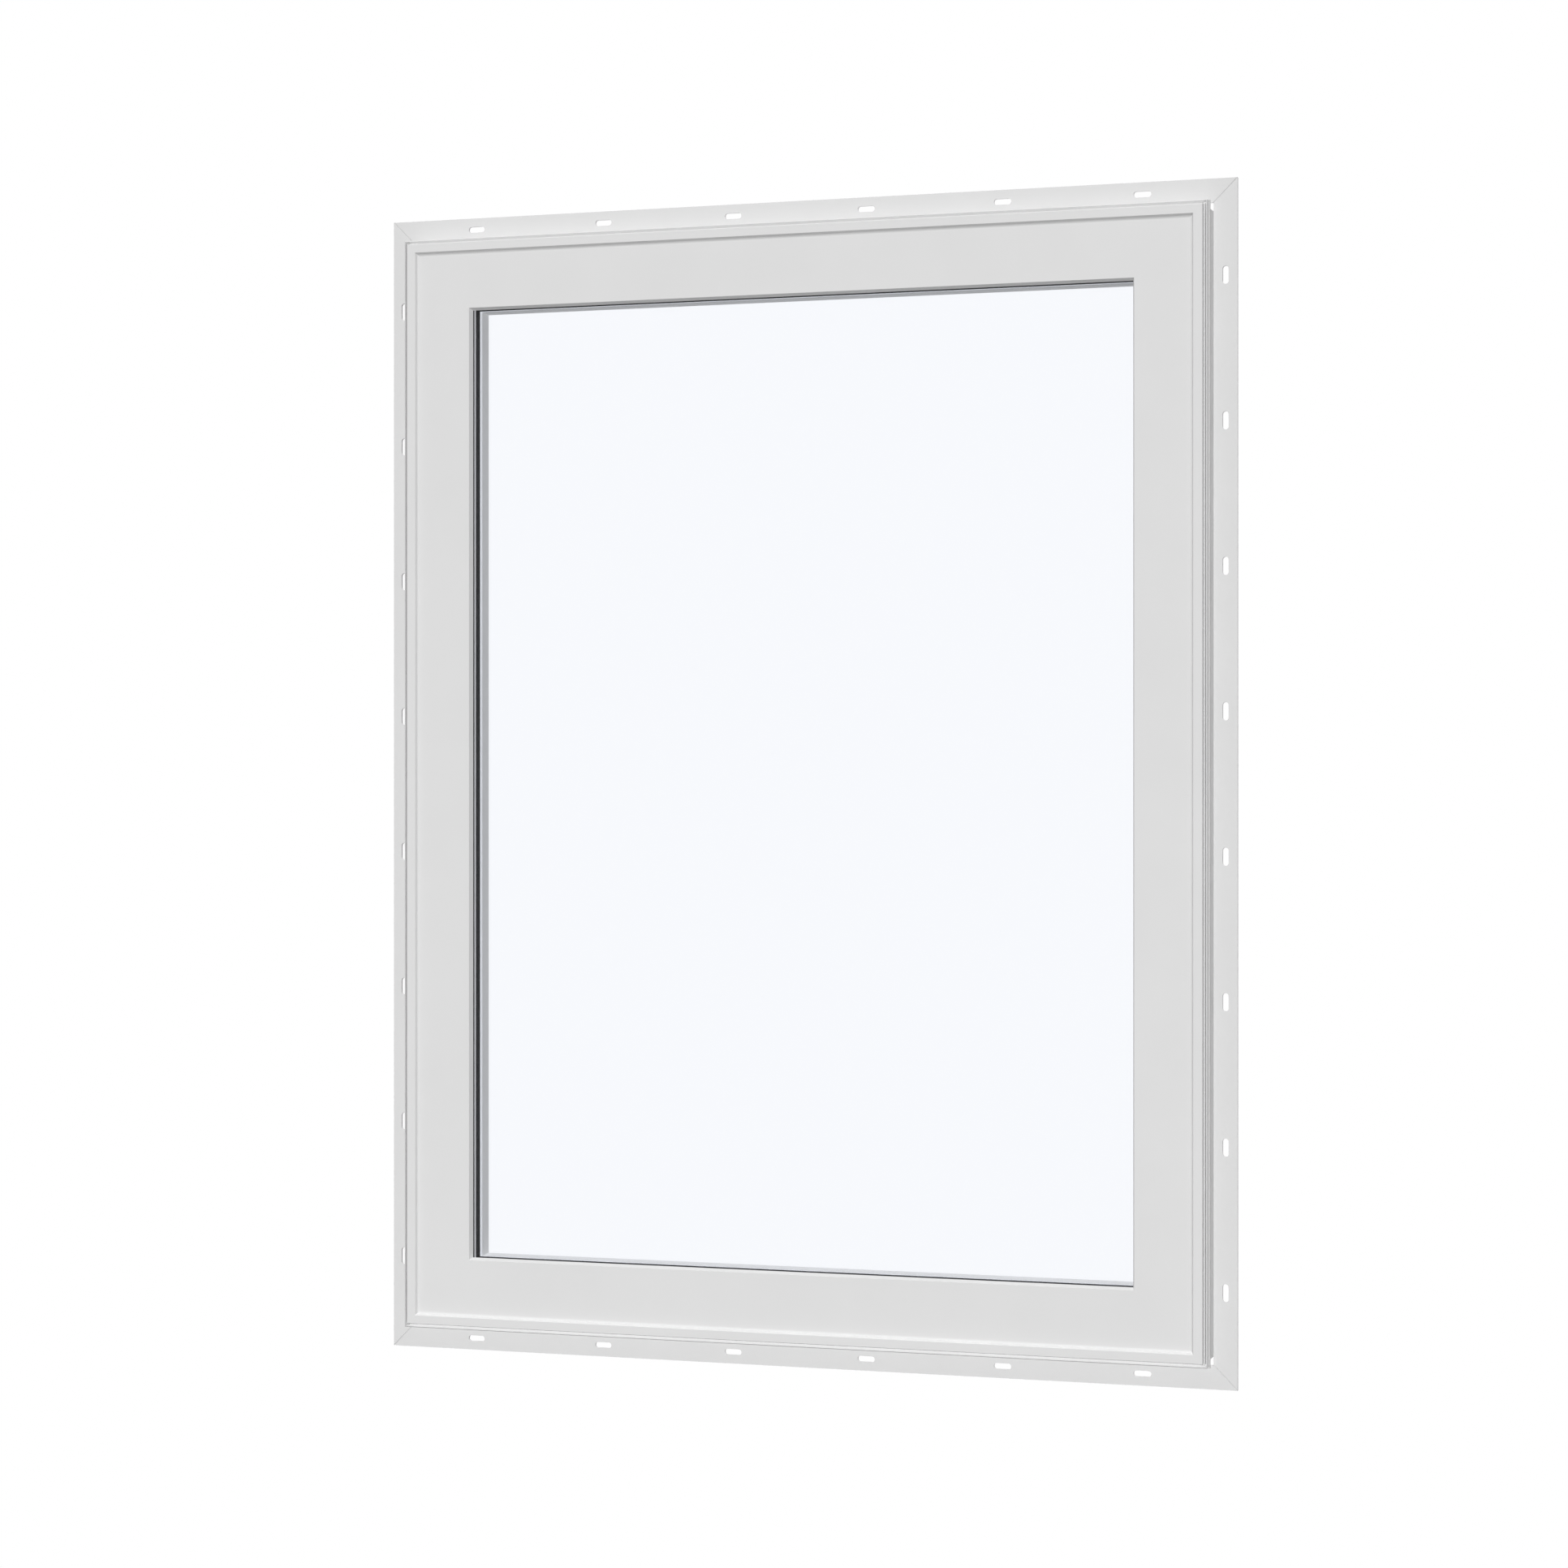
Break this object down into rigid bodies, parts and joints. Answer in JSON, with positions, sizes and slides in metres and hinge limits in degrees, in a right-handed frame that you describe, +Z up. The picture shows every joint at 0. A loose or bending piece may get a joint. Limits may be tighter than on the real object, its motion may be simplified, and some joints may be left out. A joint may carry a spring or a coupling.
{
  "type": "fixed picture window",
  "caption": "Fixed picture window: white PVC frame, sealed double glazing held by indoor beads, and a slotted nailing fin all round that fastens it to the wall.",
  "frame": {"origin": "back face of the nailing fin, at the middle of the bottom row of slots", "axes": "+Z up, +X to the right seen from outdoors, +Y from outdoors into the wall"},
  "size_m": [0.9652, 0.0826, 1.27],
  "materials": {
    "frame_pvc": "satin white PVC",
    "fin_pvc": "satin white PVC",
    "bead_pvc": "satin white PVC",
    "gasket_rubber": "matt black",
    "seal_foam": "matt pale grey",
    "spacer": "matt dark grey",
    "glass": "clear",
    "block_rubber": "matt black"
  },
  "bodies": {
    "root": {"frame_head": "frame_pvc", "frame_sill": "frame_pvc", "frame_left_jamb": "frame_pvc", "frame_right_jamb": "frame_pvc", "nailing_fin_head": "fin_pvc", "nailing_fin_sill": "fin_pvc", "nailing_fin_left_jamb": "fin_pvc", "nailing_fin_right_jamb": "fin_pvc", "glazing_bead_head": "bead_pvc", "glazing_bead_sill": "bead_pvc", "glazing_bead_left_jamb": "bead_pvc", "glazing_bead_right_jamb": "bead_pvc", "outer_gasket_head": "gasket_rubber", "outer_gasket_sill": "gasket_rubber", "outer_gasket_left_jamb": "gasket_rubber", "outer_gasket_right_jamb": "gasket_rubber", "inner_seal_head": "seal_foam", "inner_seal_sill": "seal_foam", "inner_seal_left_jamb": "seal_foam", "inner_seal_right_jamb": "seal_foam", "glass_spacer_head": "spacer", "glass_spacer_sill": "spacer", "glass_spacer_left_jamb": "spacer", "glass_spacer_right_jamb": "spacer", "outer_pane": "glass", "inner_pane": "glass", "setting_block_left": "block_rubber", "setting_block_right": "block_rubber"}
  },
  "joints": []
}
